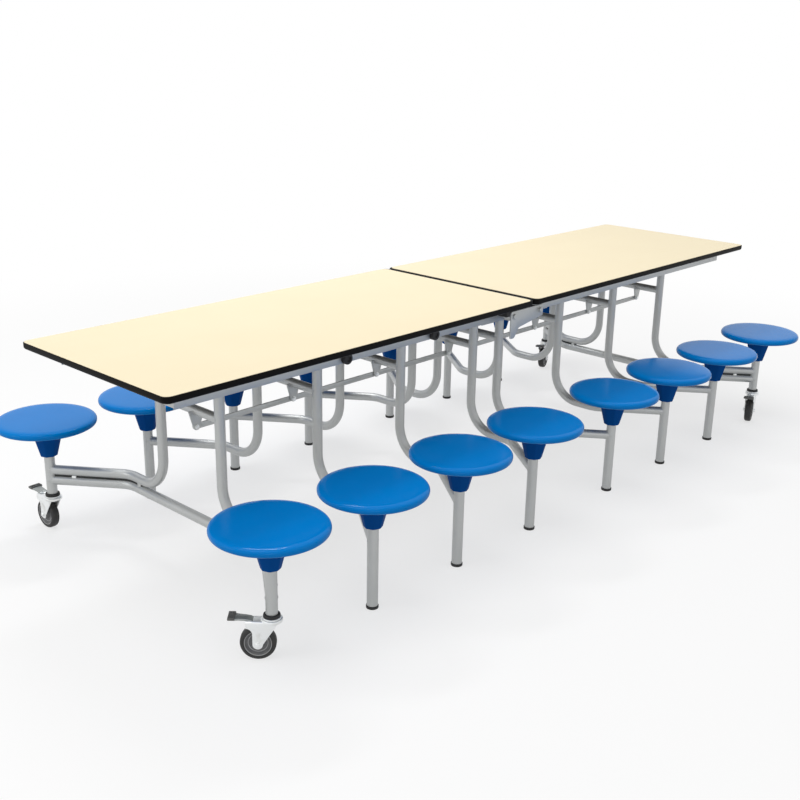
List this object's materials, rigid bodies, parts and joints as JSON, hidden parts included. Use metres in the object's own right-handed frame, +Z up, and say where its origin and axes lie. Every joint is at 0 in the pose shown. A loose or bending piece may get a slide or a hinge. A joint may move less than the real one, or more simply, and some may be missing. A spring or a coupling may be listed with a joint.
{
  "type": "folding table with attached swivel seats",
  "caption": "Long mobile dining table in two folding leaves, with round swivel seats on tube arms along both sides and braked castors under the ends.",
  "frame": {"origin": "on the floor under the middle of the table", "axes": "+X along the table towards leaf b, -Y towards the near side, +Z up"},
  "size_m": [3.12, 1.455, 0.735],
  "materials": {
    "laminate_cream": "satin laminate",
    "edge_black": "satin",
    "paint_silver": "satin silver",
    "zinc": "zinc plated",
    "seat_blue": "moulded gloss",
    "rubber_black": "matte",
    "castor_rubber": "matte"
  },
  "bodies": {
    "leaf_a": {"top_board_a": "laminate_cream", "edge_band_a": "edge_black", "subframe_a": "paint_silver", "pivot_pins_a": "zinc", "hinge_plates_a": "paint_silver", "bumpers_a": "rubber_black"},
    "frame_a1": {"frame_a1": "paint_silver", "castor_stems_a1": "zinc"},
    "frame_a2": {"frame_a2": "paint_silver", "feet_a2": "rubber_black"},
    "frame_a3": {"frame_a3": "paint_silver", "feet_a3": "rubber_black"},
    "frame_a4": {"frame_a4": "paint_silver", "feet_a4": "rubber_black"},
    "link_bar_a": {"link_bar_a": "paint_silver"},
    "leaf_b": {"top_board_b": "laminate_cream", "edge_band_b": "edge_black", "subframe_b": "paint_silver", "pivot_pins_b": "zinc", "hinge_plates_b": "paint_silver", "bumpers_b": "rubber_black"},
    "frame_b1": {"frame_b1": "paint_silver", "castor_stems_b1": "zinc"},
    "frame_b2": {"frame_b2": "paint_silver", "feet_b2": "rubber_black"},
    "frame_b3": {"frame_b3": "paint_silver", "feet_b3": "rubber_black"},
    "frame_b4": {"frame_b4": "paint_silver", "feet_b4": "rubber_black"},
    "link_bar_b": {"link_bar_b": "paint_silver"},
    "hinge_yoke": {"hinge_yoke": "paint_silver", "hinge_pins": "zinc"},
    "seat_a1_near": {"seat_a1_near": "seat_blue"},
    "seat_a1_far": {"seat_a1_far": "seat_blue"},
    "seat_a2_near": {"seat_a2_near": "seat_blue"},
    "seat_a2_far": {"seat_a2_far": "seat_blue"},
    "seat_a3_near": {"seat_a3_near": "seat_blue"},
    "seat_a3_far": {"seat_a3_far": "seat_blue"},
    "seat_a4_near": {"seat_a4_near": "seat_blue"},
    "seat_a4_far": {"seat_a4_far": "seat_blue"},
    "castor_a1_near": {"castor_fork_a1_near": "zinc"},
    "wheel_a1_near": {"castor_wheel_a1_near": "castor_rubber"},
    "pedal_a1_near": {"brake_pedal_a1_near": "zinc"},
    "castor_a1_far": {"castor_fork_a1_far": "zinc"},
    "wheel_a1_far": {"castor_wheel_a1_far": "castor_rubber"},
    "pedal_a1_far": {"brake_pedal_a1_far": "zinc"},
    "seat_b1_near": {"seat_b1_near": "seat_blue"},
    "seat_b1_far": {"seat_b1_far": "seat_blue"},
    "seat_b2_near": {"seat_b2_near": "seat_blue"},
    "seat_b2_far": {"seat_b2_far": "seat_blue"},
    "seat_b3_near": {"seat_b3_near": "seat_blue"},
    "seat_b3_far": {"seat_b3_far": "seat_blue"},
    "seat_b4_near": {"seat_b4_near": "seat_blue"},
    "seat_b4_far": {"seat_b4_far": "seat_blue"},
    "castor_b1_near": {"castor_fork_b1_near": "zinc"},
    "wheel_b1_near": {"castor_wheel_b1_near": "castor_rubber"},
    "pedal_b1_near": {"brake_pedal_b1_near": "zinc"},
    "castor_b1_far": {"castor_fork_b1_far": "zinc"},
    "wheel_b1_far": {"castor_wheel_b1_far": "castor_rubber"},
    "pedal_b1_far": {"brake_pedal_b1_far": "zinc"}
  },
  "joints": [
    {"name": "fold", "type": "hinge", "parent": "frame_a1", "child": "leaf_a", "pos_m": [-1.23, 0, 0.681], "axis": [0, -1, 0], "range_deg": [0, 60]},
    {"name": "yoke_turn", "type": "hinge", "parent": "leaf_a", "child": "hinge_yoke", "pos_m": [-0.075, 0, 0.681], "axis": [0, -1, 0], "range_deg": [-60, 0]},
    {"name": "leaf_b_turn", "type": "hinge", "parent": "hinge_yoke", "child": "leaf_b", "pos_m": [0.075, 0, 0.681], "axis": [0, -1, 0], "range_deg": [-60, 0]},
    {"name": "frame_a2_pivot", "type": "hinge", "parent": "leaf_a", "child": "frame_a2", "pos_m": [-0.845, 0, 0.681], "axis": [0, -1, 0], "range_deg": [-60, 0]},
    {"name": "frame_a3_pivot", "type": "hinge", "parent": "leaf_a", "child": "frame_a3", "pos_m": [-0.46, 0, 0.681], "axis": [0, -1, 0], "range_deg": [-60, 0]},
    {"name": "frame_a4_pivot", "type": "hinge", "parent": "leaf_a", "child": "frame_a4", "pos_m": [-0.075, 0, 0.681], "axis": [0, -1, 0], "range_deg": [-60, 0]},
    {"name": "frame_b1_pivot", "type": "hinge", "parent": "leaf_b", "child": "frame_b1", "pos_m": [1.23, 0, 0.681], "axis": [0, -1, 0], "range_deg": [0, 60]},
    {"name": "frame_b2_pivot", "type": "hinge", "parent": "leaf_b", "child": "frame_b2", "pos_m": [0.845, 0, 0.681], "axis": [0, -1, 0], "range_deg": [0, 60]},
    {"name": "frame_b3_pivot", "type": "hinge", "parent": "leaf_b", "child": "frame_b3", "pos_m": [0.46, 0, 0.681], "axis": [0, -1, 0], "range_deg": [0, 60]},
    {"name": "frame_b4_pivot", "type": "hinge", "parent": "leaf_b", "child": "frame_b4", "pos_m": [0.075, 0, 0.681], "axis": [0, -1, 0], "range_deg": [0, 60]},
    {"name": "link_bar_a_pivot", "type": "hinge", "parent": "frame_a1", "child": "link_bar_a", "pos_m": [-1.23, -0.0285, 0.487], "axis": [0, -1, 0], "range_deg": [0, 60]},
    {"name": "link_bar_b_pivot", "type": "hinge", "parent": "frame_b1", "child": "link_bar_b", "pos_m": [1.23, -0.0285, 0.487], "axis": [0, -1, 0], "range_deg": [-60, 0]},
    {"name": "swivel_a1_near", "type": "hinge", "parent": "frame_a1", "child": "seat_a1_near", "pos_m": [-1.395, -0.565, 0.36], "axis": [0, 0, 1], "continuous": true},
    {"name": "swivel_a1_far", "type": "hinge", "parent": "frame_a1", "child": "seat_a1_far", "pos_m": [-1.395, 0.565, 0.36], "axis": [0, 0, 1], "continuous": true},
    {"name": "swivel_a2_near", "type": "hinge", "parent": "frame_a2", "child": "seat_a2_near", "pos_m": [-1.01, -0.565, 0.36], "axis": [0, 0, 1], "continuous": true},
    {"name": "swivel_a2_far", "type": "hinge", "parent": "frame_a2", "child": "seat_a2_far", "pos_m": [-1.01, 0.565, 0.36], "axis": [0, 0, 1], "continuous": true},
    {"name": "swivel_a3_near", "type": "hinge", "parent": "frame_a3", "child": "seat_a3_near", "pos_m": [-0.625, -0.565, 0.36], "axis": [0, 0, 1], "continuous": true},
    {"name": "swivel_a3_far", "type": "hinge", "parent": "frame_a3", "child": "seat_a3_far", "pos_m": [-0.625, 0.565, 0.36], "axis": [0, 0, 1], "continuous": true},
    {"name": "swivel_a4_near", "type": "hinge", "parent": "frame_a4", "child": "seat_a4_near", "pos_m": [-0.24, -0.565, 0.36], "axis": [0, 0, 1], "continuous": true},
    {"name": "swivel_a4_far", "type": "hinge", "parent": "frame_a4", "child": "seat_a4_far", "pos_m": [-0.24, 0.565, 0.36], "axis": [0, 0, 1], "continuous": true},
    {"name": "castor_swivel_a1_near", "type": "hinge", "parent": "frame_a1", "child": "castor_a1_near", "pos_m": [-1.395, -0.565, 0.12], "axis": [0, 0, 1], "continuous": true},
    {"name": "wheel_spin_a1_near", "type": "hinge", "parent": "castor_a1_near", "child": "wheel_a1_near", "pos_m": [-1.4214, -0.53766, 0.05], "axis": [-0.7193, -0.6947, 0], "continuous": true},
    {"name": "brake_press_a1_near", "type": "hinge", "parent": "castor_a1_near", "child": "pedal_a1_near", "pos_m": [-1.4214, -0.53766, 0.108], "axis": [-0.7193, -0.6947, 0], "range_deg": [0, 10], "stiffness_Nm_per_rad": 1, "springref_deg": -17.19},
    {"name": "castor_swivel_a1_far", "type": "hinge", "parent": "frame_a1", "child": "castor_a1_far", "pos_m": [-1.395, 0.565, 0.12], "axis": [0, 0, 1], "continuous": true},
    {"name": "wheel_spin_a1_far", "type": "hinge", "parent": "castor_a1_far", "child": "wheel_a1_far", "pos_m": [-1.39633, 0.60298, 0.05], "axis": [-0.9994, -0.0349, 0], "continuous": true},
    {"name": "brake_press_a1_far", "type": "hinge", "parent": "castor_a1_far", "child": "pedal_a1_far", "pos_m": [-1.39633, 0.60298, 0.108], "axis": [-0.9994, -0.0349, 0], "range_deg": [0, 10], "stiffness_Nm_per_rad": 1, "springref_deg": -17.19},
    {"name": "swivel_b1_near", "type": "hinge", "parent": "frame_b1", "child": "seat_b1_near", "pos_m": [1.395, -0.565, 0.36], "axis": [0, 0, 1], "continuous": true},
    {"name": "swivel_b1_far", "type": "hinge", "parent": "frame_b1", "child": "seat_b1_far", "pos_m": [1.395, 0.565, 0.36], "axis": [0, 0, 1], "continuous": true},
    {"name": "swivel_b2_near", "type": "hinge", "parent": "frame_b2", "child": "seat_b2_near", "pos_m": [1.01, -0.565, 0.36], "axis": [0, 0, 1], "continuous": true},
    {"name": "swivel_b2_far", "type": "hinge", "parent": "frame_b2", "child": "seat_b2_far", "pos_m": [1.01, 0.565, 0.36], "axis": [0, 0, 1], "continuous": true},
    {"name": "swivel_b3_near", "type": "hinge", "parent": "frame_b3", "child": "seat_b3_near", "pos_m": [0.625, -0.565, 0.36], "axis": [0, 0, 1], "continuous": true},
    {"name": "swivel_b3_far", "type": "hinge", "parent": "frame_b3", "child": "seat_b3_far", "pos_m": [0.625, 0.565, 0.36], "axis": [0, 0, 1], "continuous": true},
    {"name": "swivel_b4_near", "type": "hinge", "parent": "frame_b4", "child": "seat_b4_near", "pos_m": [0.24, -0.565, 0.36], "axis": [0, 0, 1], "continuous": true},
    {"name": "swivel_b4_far", "type": "hinge", "parent": "frame_b4", "child": "seat_b4_far", "pos_m": [0.24, 0.565, 0.36], "axis": [0, 0, 1], "continuous": true},
    {"name": "castor_swivel_b1_near", "type": "hinge", "parent": "frame_b1", "child": "castor_b1_near", "pos_m": [1.395, -0.565, 0.12], "axis": [0, 0, 1], "continuous": true},
    {"name": "wheel_spin_b1_near", "type": "hinge", "parent": "castor_b1_near", "child": "wheel_b1_near", "pos_m": [1.35907, -0.57737, 0.05], "axis": [0.3256, -0.9455, 0], "continuous": true},
    {"name": "brake_press_b1_near", "type": "hinge", "parent": "castor_b1_near", "child": "pedal_b1_near", "pos_m": [1.35907, -0.57737, 0.108], "axis": [0.3256, -0.9455, 0], "range_deg": [0, 10], "stiffness_Nm_per_rad": 1, "springref_deg": -17.19},
    {"name": "castor_swivel_b1_far", "type": "hinge", "parent": "frame_b1", "child": "castor_b1_far", "pos_m": [1.395, 0.565, 0.12], "axis": [0, 0, 1], "continuous": true},
    {"name": "wheel_spin_b1_far", "type": "hinge", "parent": "castor_b1_far", "child": "wheel_b1_far", "pos_m": [1.35929, 0.552, 0.05], "axis": [0.342, -0.9397, 0], "continuous": true},
    {"name": "brake_press_b1_far", "type": "hinge", "parent": "castor_b1_far", "child": "pedal_b1_far", "pos_m": [1.35929, 0.552, 0.108], "axis": [0.342, -0.9397, 0], "range_deg": [0, 10], "stiffness_Nm_per_rad": 1, "springref_deg": -17.19}
  ],
  "couplings": [
    {"joint": "yoke_turn", "follows": "fold", "ratio": -1},
    {"joint": "leaf_b_turn", "follows": "fold", "ratio": -1},
    {"joint": "frame_a2_pivot", "follows": "fold", "ratio": -1},
    {"joint": "frame_a3_pivot", "follows": "fold", "ratio": -1},
    {"joint": "frame_a4_pivot", "follows": "fold", "ratio": -1},
    {"joint": "frame_b1_pivot", "follows": "fold", "ratio": 1},
    {"joint": "frame_b2_pivot", "follows": "fold", "ratio": 1},
    {"joint": "frame_b3_pivot", "follows": "fold", "ratio": 1},
    {"joint": "frame_b4_pivot", "follows": "fold", "ratio": 1},
    {"joint": "link_bar_a_pivot", "follows": "fold", "ratio": 1},
    {"joint": "link_bar_b_pivot", "follows": "fold", "ratio": -1}
  ]
}
